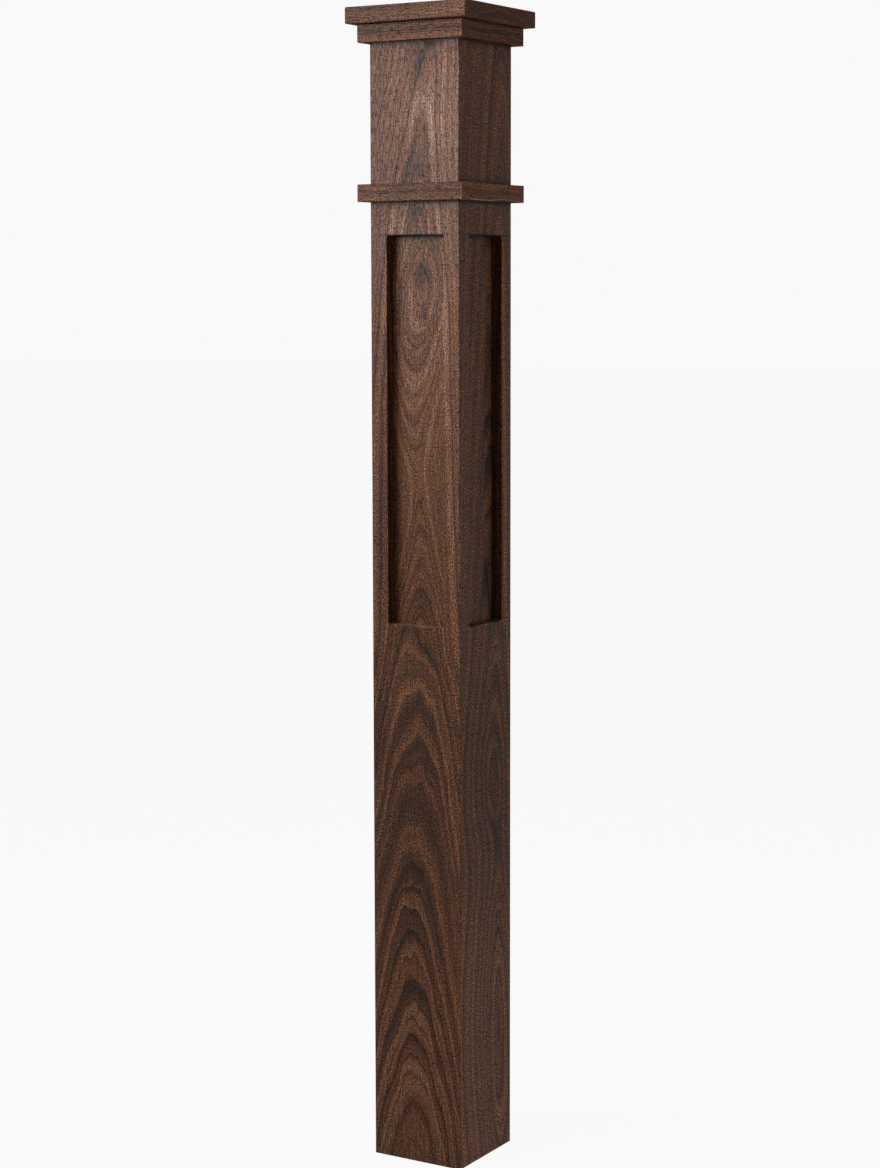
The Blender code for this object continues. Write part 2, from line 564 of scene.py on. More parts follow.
def walnut_material(name, cut):
    """Walnut for one piece, as it was cut."""
    walnut = bpy.context.scene.newel_walnut
    material = bpy.data.materials.new(name)
    material.use_nodes = True
    tree = material.node_tree
    g = Graph(tree)
    shader = tree.nodes["Principled BSDF"]
    turned = g.add("ShaderNodeMapping")
    turned.inputs["Rotation"].default_value = (0.0, 0.0, -math.radians(cut.turn))
    g.feed(turned.inputs["Vector"], g.add("ShaderNodeTexCoord").outputs["Object"])
    side, inward, up = g.parts(turned.outputs[0])
    along, across = (up, side) if cut.upright else (side, up)
    depth = g.math("ADD", inward, cut.face)

    # Rings around the heart of the tree
    away = g.math("SUBTRACT", across, g.curve(along, cut.drift))
    pith = g.curve(along, cut.pith)
    deep = g.math("ADD", depth, pith)
    radius = g.math("SQRT", g.math("MULTIPLY_ADD", away, away, g.math("MULTIPLY", deep, deep)))
    ring = g.math("ADD", g.math("SUBTRACT", radius, pith), g.curve(along, cut.taper))
    growth = g.add("ShaderNodeGroup", node_tree=shared_group("Growth", growth_group))
    for socket, value in zip(growth.inputs, (along, across, depth, cut.seed, ring)):
        g.feed(socket, value)
    figure = g.curve(growth.outputs["Ring"], cut.bands)
    outer = g.stretch(g.math("ABSOLUTE", away), *cut.fade, smooth=True)
    figure = g.math("MULTIPLY_ADD", outer, g.math("SUBTRACT", cut.plain, figure), figure)
    figure = g.math("ADD", figure, g.curve(along, cut.ground))
    if cut.patches:
        figure = g.math("ADD", figure, soft_spots(g, side, up, cut.patches))
    speckle = g.curve(along, cut.speckle)
    speckle = g.stretch(depth, FACE_DEPTH, INNER_DEPTH, speckle, INNER_SPECKLE)

    wood = g.add("ShaderNodeGroup", node_tree=shared_group("Finish", finish_group, walnut))
    for socket in ("Ring", "Fibre", "Fleck", "Pore"):
        g.feed(wood.inputs[socket], growth.outputs[socket])
    # Paler along the arrises: partly wear, partly a painted highlight
    wear_and_highlight = arris_wear_and_highlight(g, cut, side, inward, up)
    g.fill(wood, Figure=figure, Seed=cut.seed, Speckle=speckle, Wear=wear_and_highlight)
    bump = g.add("ShaderNodeBump")
    g.fill(bump, Strength=BUMP_STRENGTH, Distance=BUMP_DISTANCE, Height=wood.outputs["Height"])
    g.fill(
        shader,
        Base_Color=wood.outputs["Colour"],
        Roughness=wood.outputs["Roughness"],
        Specular_IOR_Level=walnut.gloss if cut.upright else walnut.band_gloss,
        Normal=bump.outputs[0],
    )
    return material


# Shapes


def solid_copy(node):
    """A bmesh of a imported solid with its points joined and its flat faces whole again."""
    bm = bmesh.new()
    bm.from_mesh(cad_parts[node].data)
    bmesh.ops.remove_doubles(bm, verts=bm.verts[:], dist=MERGE)
    flat = math.radians(0.5)
    bmesh.ops.dissolve_limit(bm, angle_limit=flat, verts=bm.verts[:], edges=bm.edges[:])
    return bm


def ease(bm, edges, radius, steps):
    """Round the edges."""
    bmesh.ops.bevel(
        bm,
        geom=edges,
        offset=radius,
        offset_type="OFFSET",
        segments=steps,
        profile=0.5,
        affect="EDGES",
    )


def rounded_box(name, half_width, low_z, high_z, radius, steps):
    """A square prism on the post's axis with every edge rounded."""
    bm = bmesh.new()
    centre = Matrix.Translation((0.0, 0.0, (low_z + high_z) / 2))
    size = Matrix.Diagonal((2 * half_width, 2 * half_width, high_z - low_z, 1.0))
    bmesh.ops.create_cube(bm, size=1.0, matrix=centre @ size)
    ease(bm, bm.edges[:], radius, steps)
    return object_from(bm, name)


def object_from(bm, name):
    """Link the bmesh as an object at the origin."""
    mesh = bpy.data.meshes.new(name)
    bm.to_mesh(mesh)
    bm.free()
    piece = bpy.data.objects.new(name, mesh)
    bpy.context.scene.collection.objects.link(piece)
    return piece


def trim(piece, envelope):
    """Keep the part of the piece that lies inside the envelope, and drop the envelope."""
    cut = piece.modifiers.new("Envelope", "BOOLEAN")
    cut.operation = "INTERSECT"
    cut.solver = "EXACT"
    cut.object = envelope
    bake_modifiers(piece)
    bpy.data.objects.remove(envelope, do_unlink=True)


def bake_modifiers(piece):
    """Replace the object's mesh by its evaluated one and clear its modifiers."""
    evaluated = piece.evaluated_get(bpy.context.evaluated_depsgraph_get())
    mesh = bpy.data.meshes.new_from_object(evaluated)
    mesh.name = piece.name
    piece.modifiers.clear()
    piece.data = mesh


def finish_piece(piece, material, slot, *nodes):
    """Shade the piece, give it its wood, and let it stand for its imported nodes."""
    piece.data.materials.clear()
    piece.data.materials.append(material)
    points = piece.data.vertices
    for face in piece.data.polygons:
        longest = max((points[a].co - points[b].co).length for a, b in face.edge_keys)
        face.use_smooth = face.area < longest * STRIP_WIDTH
    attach(piece, "root")
    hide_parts(*nodes)


# Operators


class NEWEL_OT_side_boards(bpy.types.Operator):
    """Make the four mitred side boards with eased edges"""

    bl_idname = "newel.side_boards"
    bl_label = "Side Boards"

    def execute(self, context):
        easing = context.scene.newel_easing
        cuts = cut_boards()
        for side, turn in SIDES.items():
            node = f"side_board_{side}"
            bm = solid_copy(node)
            back = Matrix.Rotation(-math.radians(turn), 4, "Z")
            ease(bm, window_rim(bm, back), easing.window_arris, RIM_STEPS)
            piece = object_from(bm, f"walnut_board_{side}")
            trim(piece, rounded_box("envelope", BODY_HALF, 0.0, BOARD_TOP, easing.arris, easing.steps))
            material = walnut_material(piece.name, cuts[side])
            finish_piece(piece, material, "side_board", node)
        return {"FINISHED"}


def window_rim(bm, back):
    """The edges round the window in the board's outer face, which back turns to the front."""
    rim = []
    for edge in bm.edges:
        places = [back @ vert.co for vert in edge.verts]
        on_face = all(abs(place.y + BODY_HALF) < ON_FACE for place in places)
        if on_face and all(abs(place.x) < PANEL_FACE for place in places):
            rim.append(edge)
    return rim


class NEWEL_OT_recessed_panels(bpy.types.Operator):
    """Make the four flat panels behind the windows"""

    bl_idname = "newel.recessed_panels"
    bl_label = "Recessed Panels"

    def execute(self, context):
        easing = context.scene.newel_easing
        cuts = cut_panels()
        for side in SIDES:
            node = f"recessed_panel_{side}"
            bm = solid_copy(node)
            ease(bm, bm.edges[:], easing.window_arris, PANEL_STEPS)
            piece = object_from(bm, f"walnut_panel_{side}")
            material = walnut_material(piece.name, cuts[side])
            finish_piece(piece, material, "recessed_panel", node)
        return {"FINISHED"}


def eased_outline(g, width, height, steps, radius):
    """A rectangle in the XY plane with eased corners."""
    outline = g.fill(g.add("GeometryNodeCurvePrimitiveQuadrilateral"), Width=width, Height=height)
    eased = g.add("GeometryNodeFilletCurve", mode="POLY")
    g.fill(eased, Curve=outline.outputs["Curve"], Count=steps, Radius=radius)
    return eased.outputs["Curve"]


def prism(g, outline, height):
    """A closed prism that stands on the outline."""
    filled = g.fill(g.add("GeometryNodeFillCurve", mode="NGONS"), Curve=outline).outputs["Mesh"]
    swept = g.add("GeometryNodeExtrudeMesh", mode="FACES")
    g.fill(swept, Mesh=filled, Offset=g.point(0.0, 0.0, 1.0), Offset_Scale=height)
    flipped = g.fill(g.add("GeometryNodeFlipFaces"), Mesh=filled)
    closed = g.fill(g.add("GeometryNodeJoinGeometry"), Geometry=flipped.outputs["Mesh"])
    g.fill(closed, Geometry=swept.outputs["Mesh"])
    welded = g.add("GeometryNodeMergeByDistance")
    g.fill(welded, Geometry=closed.outputs["Geometry"], Distance=MERGE)
    return welded.outputs["Geometry"]


def strip_tree():
    """A geometry tree that sweeps one mitred strip of a square ring and turns it to its side.

    The strip's section has its two outer arrises eased. Its ends are drawn in by their depth, which mitres
    them at 45 degrees, and the ring's outer corners are eased by an upright envelope.
    """
    tree = bpy.data.node_groups.new("Mitred strip", "GeometryNodeTree")
    inputs = (
        ("Outer Half Width", 0.075, "NodeSocketFloat"),
        ("Inner Half Width", 0.063, "NodeSocketFloat"),
        ("Low", 1.21, "NodeSocketFloat"),
        ("High", 1.23, "NodeSocketFloat"),
        ("Arris", 0.001, "NodeSocketFloat"),
        ("Arris Steps", 3, "NodeSocketInt"),
        ("Setback", 0.0, "NodeSocketFloat"),
        ("Turn", 0.0, "NodeSocketFloat"),
        ("Wood", None, "NodeSocketMaterial"),
    )
    for name, default, kind in inputs:
        socket = tree.interface.new_socket(name, in_out="INPUT", socket_type=kind)
        if default is not None:
            socket.default_value = default
    tree.interface.new_socket("Geometry", in_out="OUTPUT", socket_type="NodeSocketGeometry")
    g = Graph(tree)
    given = g.add("NodeGroupInput").outputs
    outer, inner, low, high, arris, steps, setback, turn, wood = (given[i] for i in range(len(inputs)))
    thickness = g.math("SUBTRACT", outer, inner)
    height = g.math("SUBTRACT", high, low)
    ring_width = g.math("MULTIPLY", outer, 2.0)
    x, y, z = g.parts(g.add("GeometryNodeInputPosition").outputs[0])

    # Section in the XY plane, with X the distance from the post's axis and Y the height, and its sweep
    outer_arris = g.math("MULTIPLY", g.math("GREATER_THAN", x, 0.0), arris)
    swept = prism(g, eased_outline(g, thickness, height, steps, outer_arris), ring_width)

    # Section X becomes -Y, section Y becomes Z, and the sweep runs along X, drawn in by depth at its ends
    out = g.math("ADD", x, g.math("MULTIPLY_ADD", thickness, 0.5, inner))
    lift = g.math("ADD", y, g.math("MULTIPLY_ADD", height, 0.5, low))
    share = g.math("SUBTRACT", g.math("DIVIDE", z, outer), 1.0)
    aside = g.math("MULTIPLY", share, g.math("SUBTRACT", out, setback))
    place = g.point(aside, g.math("MULTIPLY", out, -1.0), lift)
    moved = g.fill(g.add("GeometryNodeSetPosition"), Geometry=swept, Position=place)

    # Envelope from the floor to above the ring, which eases the ring's upright corners
    plan = eased_outline(g, ring_width, ring_width, g.math("MULTIPLY", steps, 2.0), arris)
    envelope = prism(g, plan, g.math("ADD", high, 1.0))
    kept = g.add("GeometryNodeMeshBoolean", operation="INTERSECT", solver="EXACT")
    g.feed(kept.inputs["Mesh 2"], moved.outputs["Geometry"])
    g.feed(kept.inputs["Mesh 2"], envelope)

    turned = g.add("GeometryNodeTransform")
    g.fill(turned, Geometry=kept.outputs["Mesh"], Rotation=g.point(0.0, 0.0, turn))
    realised = g.fill(g.add("GeometryNodeRealizeInstances"), Geometry=turned.outputs["Geometry"])
    dressed = g.add("GeometryNodeSetMaterial")
    g.fill(dressed, Geometry=realised.outputs["Geometry"], Material=wood)
    g.fill(g.add("NodeGroupOutput"), Geometry=dressed.outputs["Geometry"])
    return tree


def make_strip(name, tree, values):
    """Run the strip tree with its named inputs and keep the result as a plain mesh."""
    piece = object_from(bmesh.new(), name)
    sweep = piece.modifiers.new("Mitred strip", "NODES")
    sweep.node_group = tree
    inputs = [item for item in tree.interface.items_tree if item.in_out == "INPUT"]
    sockets = {item.name: item.identifier for item in inputs}
    for socket, value in values.items():
        sweep[sockets[socket]] = value
    bake_modifiers(piece)
    return piece


def make_ring(kind, seed, tones, easing, painted_shading_lines=()):
    """The four mitred strips of one ring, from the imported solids' boxes."""
    tree = shared_group("Mitred strip", strip_tree)
    low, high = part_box(f"{kind}_front")
    cuts = cut_strips(low, high, seed, tones, painted_shading_lines)
    for side, turn in SIDES.items():
        name = f"walnut_{kind}_{side}"
        material = walnut_material(name, cuts[side])
        values = {
            "Outer Half Width": -low.y,
            "Inner Half Width": -high.y,
            "Low": low.z,
            "High": high.z,
            "Arris": easing.strip_arris,
            "Arris Steps": easing.steps,
            "Setback": -low.y - high.x,
            "Turn": math.radians(turn),
            "Wood": material,
        }
        piece = make_strip(name, tree, values)
        node = f"{kind}_{side}"
        finish_piece(piece, material, kind, node)


class NEWEL_OT_neck_band(bpy.types.Operator):
    """Make the four mitred strips of the neck band"""

    bl_idname = "newel.neck_band"
    bl_label = "Neck Band"

    def execute(self, context):
        easing = context.scene.newel_easing
        make_ring("neck_band", NECK_BAND_SEED, NECK_BAND_TONES, easing)
        return {"FINISHED"}


class NEWEL_OT_under_cap_moulding(bpy.types.Operator):
    """Make the four mitred strips under the cap"""

    bl_idname = "newel.under_cap_moulding"
    bl_label = "Under-cap Moulding"

    def execute(self, context):
        # Painted shadow of the cap along the top of the strips
        under_cap = painted_shade_line(BOARD_TOP, reach=0.0022, change=-0.30)
        easing = context.scene.newel_easing
        make_ring("under_cap_moulding", UNDER_CAP_SEED, UNDER_CAP_TONES, easing, (under_cap,))
        return {"FINISHED"}


class NEWEL_OT_cap_board(bpy.types.Operator):
    """Make the flat cap with eased edges"""

    bl_idname = "newel.cap_board"
    bl_label = "Cap Board"

    def execute(self, context):
        easing = context.scene.newel_easing
        bm = solid_copy("cap_board")
        ease(bm, bm.edges[:], easing.arris, easing.steps)
        piece = object_from(bm, "walnut_cap")
        material = walnut_material("walnut_cap", cut_cap())
        finish_piece(piece, material, "cap_board", "cap_board")
        return {"FINISHED"}


# Camera, read from the photograph's perspective: metres, radians and millimetres
CAMERA_PLACE = (1.6101, -2.6635, 1.0984)
CAMERA_AZIMUTH = 0.5446
CAMERA_PITCH = 0.1165
CAMERA_ROLL = -0.0023
CAMERA_LENS = 76.56

# Tints of the lights
NEUTRAL = (1.0, 1.0, 1.0)
PALE_COOL = (0.96, 1.01, 1.08)
COOL = (0.92, 1.02, 1.18)

# Each light: its azimuth round the post, with 0 in front and 90 at the right, its distance and height, the
# height on the post's axis that it faces, its width and height, the setting of its power, and its tint
LIGHTS = {
    "key": ((-36, 1.4, 1.42), 1.3, (0.9, 0.6), "key", PALE_COOL),
    "top": ((-20, 0.8, 2.8), 1.3, (1.0, 1.0), "top", COOL),
    "front": ((-4, 2.5, 0.8), 0.7, (1.2, 1.8), "front", NEUTRAL),
    "side": ((100, 2.0, 0.9), 0.8, (0.5, 1.8), "side", PALE_COOL),
    "rim": ((135, 2.4, 1.0), 0.8, (1.0, 2.0), "rim", PALE_COOL),
    "low_right": ((105, 2.0, 0.3), 0.3, (1.0, 0.6), "low", NEUTRAL),
    "low_left": ((-62, 1.8, 0.2), 0.3, (1.0, 0.5), "low", NEUTRAL),
    "bounce": ((0, 0.0, 0.001), 1.0, (3.0, 3.0), "bounce", COOL),
}

# Floor: half its width, its reflectance, and how much dimmer than the backdrop it glows
FLOOR_REACH = 30.0
FLOOR_GREY = (0.03, 0.03, 0.03, 1.0)
FLOOR_DIMMER = 0.01


def area_light(name, place, target, size, power, tint):
    """A soft rectangular light at a place, facing a target."""
    data = bpy.data.lights.new(name, "AREA")
    data.shape = "RECTANGLE"
    data.size, data.size_y = size
    data.energy = power
    data.color = tint
    light = bpy.data.objects.new(name, data)
    light.location = place
    facing = Vector(target) - Vector(place)
    light.rotation_euler = facing.to_track_quat("-Z", "Y").to_euler()
    bpy.context.scene.collection.objects.link(light)


def polar(azimuth, distance, height):
    """A place round the post, with azimuth 0 in front of it and 90 at its right."""
    angle = math.radians(azimuth)
    return (math.sin(angle) * distance, -math.cos(angle) * distance, height)


class NEWEL_OT_stage(bpy.types.Operator):
    """Make the plain pale floor, the soft lights and the camera"""

    bl_idname = "newel.stage"
    bl_label = "Studio"

    def execute(self, context):
        scene = context.scene
        studio = scene.newel_studio
        scene.view_settings.view_transform = "Standard"
        self.make_floor(studio)
        self.make_world(scene, studio)
        for name, (place, aim, size, power, tint) in LIGHTS.items():
            area_light(name, polar(*place), (0.0, 0.0, aim), size, getattr(studio, power), tint)
        self.make_camera(scene)
        return {"FINISHED"}

    def make_floor(self, studio):
        """A pale floor that is nearly as bright as the backdrop by itself."""
        bm = bmesh.new()
        bmesh.ops.create_grid(bm, x_segments=1, y_segments=1, size=FLOOR_REACH)
        floor = object_from(bm, "floor")
        material = bpy.data.materials.new("floor")
        material.use_nodes = True
        Graph(material.node_tree).fill(
            material.node_tree.nodes["Principled BSDF"],
            Base_Color=FLOOR_GREY,
            Roughness=1.0,
            Specular_IOR_Level=0.0,
            Emission_Color=WHITE,
            Emission_Strength=studio.backdrop - FLOOR_DIMMER,
        )
        floor.data.materials.append(material)
        floor.visible_diffuse = False
        floor.visible_glossy = False

    def make_world(self, scene, studio):
        """A pale backdrop that gives the wood only a little light."""
        world = bpy.data.worlds.new("studio")
        world.use_nodes = True
        world.node_tree.nodes.clear()
        g = Graph(world.node_tree)
        mixed = g.add("ShaderNodeMixShader")
        g.feed(mixed.inputs[0], g.add("ShaderNodeLightPath").outputs["Is Camera Ray"])
        for socket, strength in zip(mixed.inputs[1:], (studio.room, studio.backdrop)):
            background = g.fill(g.add("ShaderNodeBackground"), Color=WHITE, Strength=strength)
            g.feed(socket, background.outputs[0])
        g.feed(g.add("ShaderNodeOutputWorld").inputs[0], mixed.outputs[0])
        scene.world = world

    def make_camera(self, scene):
        """The camera at the photo's place, angle and lens."""
        data = bpy.data.cameras.new("camera")
        data.lens = CAMERA_LENS
        camera = bpy.data.objects.new("camera", data)
        camera.location = CAMERA_PLACE
        turn = Matrix.Rotation(CAMERA_AZIMUTH, 4, "Z")
        tilt = Matrix.Rotation(math.pi / 2 - CAMERA_PITCH, 4, "X")
        roll = Matrix.Rotation(CAMERA_ROLL, 4, "Z")
        camera.rotation_euler = (turn @ tilt @ roll).to_euler()
        scene.collection.objects.link(camera)
        scene.camera = camera


class NEWEL_PT_sidebar(bpy.types.Panel):
    """Lists the pieces of the post and their settings."""

    bl_label = "Box Newel Post"
    bl_space_type = "VIEW_3D"
    bl_region_type = "UI"
    bl_category = "Newel Post"

    def draw(self, context):
        layout = self.layout
        for operator in PIECE_OPERATORS:
            layout.operator(operator.bl_idname)
        for setting in GROUPS:
            group = getattr(context.scene, setting)
            box = layout.box()
            for name in group.__annotations__:
                box.prop(group, name)


# Wood of each piece

# Front board: its heart lies deep at the foot, for broad arches, and nearer its face at the block
FRONT_PITH = (
    (0.0, 0.090), (0.600, 0.085), (0.720, 0.078), (1.100, 0.034), (1.200, 0.024),
    (1.4245, 0.022),
)

# Front board: how its rings climb from the foot to the cap, and how far aside its heart runs
FRONT_TAPER = (
    (0.0, 0.0), (0.156, 0.0156), (0.311, 0.0311), (0.481, 0.0481), (0.594, 0.0594),
    (0.690, 0.0690), (0.760, 0.0700), (1.100, 0.0690), (1.170, 0.0720), (1.236, 0.0786),
    (1.289, 0.0839), (1.389, 0.0940), (1.4245, 0.0975),
)
FRONT_DRIFT = (
    (0.0, -0.008), (0.240, -0.006), (0.400, -0.004), (0.594, 0.000), (0.690, -0.004),
    (1.180, 0.001), (1.289, 0.008), (1.389, 0.023), (1.4245, 0.027),
)

# Front board: dark and pale bands, by the ring at which they lie
FRONT_BANDS = (
    (0.0000, 0.39), (0.0030, 0.42), (0.0052, 0.44), (0.0066, 0.24), (0.0086, 0.55),
    (0.0120, 0.60), (0.0157, 0.36), (0.0183, 0.56), (0.0208, 0.52), (0.0234, 0.15),
    (0.0254, 0.50), (0.0285, 0.42), (0.0310, 0.38), (0.0336, 0.56), (0.0365, 0.42),
    (0.0396, 0.34), (0.0421, 0.55), (0.0445, 0.38), (0.0476, 0.27), (0.0498, 0.45),
    (0.0516, 0.56), (0.0540, 0.28), (0.0562, 0.62), (0.0592, 0.38), (0.0617, 0.62),
    (0.0641, 0.46), (0.0668, 0.60), (0.0695, 0.42), (0.0722, 0.60), (0.0748, 0.40),
    (0.0775, 0.64), (0.0800, 0.52), (0.0822, 0.60), (0.0839, 0.36), (0.0862, 0.62),
    (0.0895, 0.70), (0.0922, 0.62), (0.0938, 0.28), (0.0960, 0.58), (0.0990, 0.46),
    (0.1020, 0.66), (0.1060, 0.40), (0.1095, 0.64), (0.1130, 0.44), (0.1165, 0.66),
    (0.1210, 0.42), (0.1250, 0.62), (0.1295, 0.46), (0.1340, 0.64), (0.1390, 0.44),
    (0.1440, 0.60),
)

# Front board: its change of tone from foot to cap, its soft spots and the strength of its flecks
FRONT_GROUND = (
    (0.0000, 0.10), (0.1000, 0.19), (0.2500, 0.14), (0.3500, 0.06), (0.4500, 0.01),
    (0.5500, -0.01), (0.6500, 0.01), (0.8000, 0.10), (1.0000, 0.12), (1.1000, 0.15),
    (1.2000, 0.17), (1.4245, 0.17),
)
FRONT_PATCHES = (
    (0.012, 1.374, 0.016, 0.030, -0.34),
    (-0.006, 1.250, 0.026, 0.034, -0.34),
    (0.014, 1.318, 0.008, 0.026, 0.10),
    (-0.052, 1.316, 0.018, 0.090, -0.10),
    # The next three are painted sheen: paler tone near the front corner, high on the board
    (0.030, 1.330, 0.018, 0.080, 0.07),
    (0.050, 1.310, 0.016, 0.100, 0.12),
    (0.050, 1.080, 0.016, 0.120, 0.05),
    (0.001, 1.190, 0.007, 0.020, -0.26),
    (-0.052, 1.030, 0.015, 0.200, -0.18),
    (-0.052, 0.800, 0.014, 0.110, -0.17),
    (-0.052, 0.540, 0.014, 0.070, -0.15),
    (-0.002, 0.650, 0.030, 0.040, -0.06),
    (-0.004, 0.280, 0.024, 0.090, -0.06),
    (0.054, 0.560, 0.012, 0.200, 0.06),
    (0.000, 0.560, 0.030, 0.060, -0.06),
)
FRONT_SPECKLE = (
    (0.000, 1.00), (0.300, 1.06), (0.560, 1.34), (0.700, 1.26), (1.180, 1.00),
    (1.240, 0.88), (1.4245, 0.88),
)

# Right board: mostly straight, with a long closed eye at a third of its height
RIGHT_TAPER = (
    (0.0, 0.012), (0.150, 0.004), (0.300, 0.014), (0.400, 0.023), (0.480, 0.017),
    (0.560, 0.024), (0.690, 0.038), (1.170, 0.050), (1.4245, 0.070),
)
RIGHT_DRIFT = (
    (0.0, 0.040), (0.150, 0.034), (0.380, 0.030), (0.510, 0.021), (0.690, 0.026),
    (1.4245, 0.040),
)
RIGHT_BANDS = (
    (0.0, 0.44), (0.005, 0.30), (0.009, 0.54), (0.013, 0.34), (0.0165, 0.52),
    (0.019, 0.26), (0.0215, 0.54), (0.0245, 0.30), (0.0275, 0.56), (0.031, 0.34),
    (0.036, 0.56), (0.042, 0.38), (0.048, 0.58), (0.055, 0.36), (0.062, 0.56),
    (0.070, 0.40), (0.078, 0.58), (0.088, 0.40), (0.098, 0.56), (0.110, 0.42),
    (0.130, 0.52),
)
RIGHT_GROUND = (
    (0.0000, 0.12), (0.2500, 0.10), (0.4200, -0.04), (0.5500, -0.05), (0.6800, -0.03),
    (1.0000, 0.04), (1.4245, 0.08),
)
RIGHT_PATCHES = (
    (0.054, 0.900, 0.013, 0.300, 0.09),
    (0.030, 0.150, 0.020, 0.120, 0.04),
    (0.024, 0.425, 0.009, 0.024, -0.20),
    (0.026, 0.520, 0.010, 0.030, -0.10),
    (-0.030, 0.530, 0.030, 0.080, -0.05),
)
RIGHT_SPECKLE = (
    (0.000, 2.3), (0.300, 2.4), (0.550, 2.8), (0.690, 2.7), (1.200, 2.0),
    (1.4245, 2.0),
)

# Front panel: an eye near its top, then points that hang down, and one that stands up near its foot
PANEL_TAPER = (
    (0.667, 0.0020), (0.715, 0.0120), (0.750, 0.0200), (0.794, 0.0270), (0.835, 0.0330),
    (0.869, 0.0350), (0.917, 0.0310), (0.950, 0.0270), (0.990, 0.0190), (1.035, 0.0110),
    (1.055, 0.0070), (1.080, 0.0025), (1.105, 0.0000), (1.130, 0.0030), (1.160, 0.0090),
    (1.190, 0.0130),
)
PANEL_PITH = (
    (0.667, 0.018), (0.840, 0.018), (0.920, 0.032), (1.040, 0.034), (1.090, 0.022),
    (1.190, 0.018),
)
PANEL_DRIFT = (
    (0.667, -0.002), (0.794, -0.003), (0.869, -0.006), (0.937, -0.012), (0.992, -0.011),
    (1.040, -0.008), (1.110, 0.002), (1.190, 0.004),
)
PANEL_BANDS = (
    (0.0000, 0.47), (0.0030, 0.50), (0.0070, 0.57), (0.0110, 0.38), (0.0140, 0.56),
    (0.0165, 0.41), (0.0205, 0.62), (0.0235, 0.44), (0.0262, 0.62), (0.0286, 0.37),
    (0.0315, 0.57), (0.0345, 0.44), (0.0380, 0.59), (0.0420, 0.43), (0.0460, 0.56),
    (0.0520, 0.46), (0.0600, 0.54), (0.0750, 0.49),
)
PANEL_GROUND = (
    (0.667, 0.08), (0.78, 0.08), (0.90, 0.16), (1.05, 0.18), (1.12, 0.20),
    (1.19, 0.16),
)
PANEL_PATCHES = (
    (0.002, 1.122, 0.013, 0.020, -0.40),
    (0.005, 1.070, 0.0045, 0.012, -0.26),
    (-0.010, 1.056, 0.010, 0.018, 0.06),
    (-0.016, 1.105, 0.006, 0.034, 0.06),
    (0.000, 0.735, 0.018, 0.040, -0.12),
)

# Plain straighter grain, shared by the right panel and the pieces at the back and the left
PLAIN_TAPER = ((0.0, 0.0), (0.6, 0.020), (1.0, 0.034), (1.4245, 0.060))
PLAIN_DRIFT = ((0.0, 0.030), (0.7, 0.036), (1.4245, 0.026))

# Strips: dark and pale bands of their level grain, by the ring at which they lie
LEVEL_BANDS = (
    (0.020, 0.50), (0.026, 0.57), (0.031, 0.41), (0.036, 0.56), (0.041, 0.45),
    (0.047, 0.59), (0.053, 0.48), (0.060, 0.55), (0.080, 0.46), (0.110, 0.56),
    (0.150, 0.49),
)

# Strips: how much paler or darker each is, at its left end, its middle and its right end
NECK_BAND_TONES = {
    "front": (0.00, -0.02, 0.04),
    "right": (0.18, 0.19, 0.20),
    "back": (0.00, 0.02, 0.00),
    "left": (0.03, 0.02, 0.03),
}
UNDER_CAP_TONES = {
    "front": (0.03, 0.05, 0.19),
    "right": (-0.03, -0.03, -0.02),
    "back": (0.02, 0.00, 0.02),
    "left": (0.00, 0.02, 0.00),
}

# Strips: the seed of each ring's front strip, and the step from there to each next one
NECK_BAND_SEED = 11.0
UNDER_CAP_SEED = 17.0
STRIP_SEED_STEP = 1.7

# Cap: how far under it the heart of its tree lies, and its bands by their distance from there
CAP_HEART = 0.150
CAP_BANDS = (
    (0.140, 0.50), (0.152, 0.60), (0.160, 0.42), (0.168, 0.58), (0.176, 0.44),
    (0.183, 0.62), (0.190, 0.48), (0.200, 0.56),
)
CAP_GROUND = ((-CAP_HALF, -0.08), (0.0, 0.02), (0.080, 0.13), (CAP_HALF, 0.01))

# Half width of a painted shade line that runs right across a piece, and of the painted shade along a
# window's head and the painted highlight along its sill
WHOLE_WIDTH = 10.0
WINDOW_REACH = 0.045

# Half height of the painted shade line along a window's head and the painted highlight line along its sill
RIM_REACH = 0.0012

# Extent for a piece whose arrises are all hidden, so that none of it wears or takes the painted arris
# highlight
NO_WEAR_OR_HIGHLIGHT_EXTENT = {"half": 1.0, "low": 0.0, "high": 2.0}


def painted_shade_line(height, reach=0.0035, change=-0.75):
    """A soft dark line across a piece: painted shade under whatever stands out above it."""
    return (0.0, height, WHOLE_WIDTH, reach, change)


def level(value):
    """The same value all along a piece."""
    return ((0.0, value), (1.0, value))


def cut_sides(shared, woods):
    """One cut for each side of the post, with what they share and the wood of each."""
    return {side: Cut(turn=turn, **shared, **woods[side]) for side, turn in SIDES.items()}


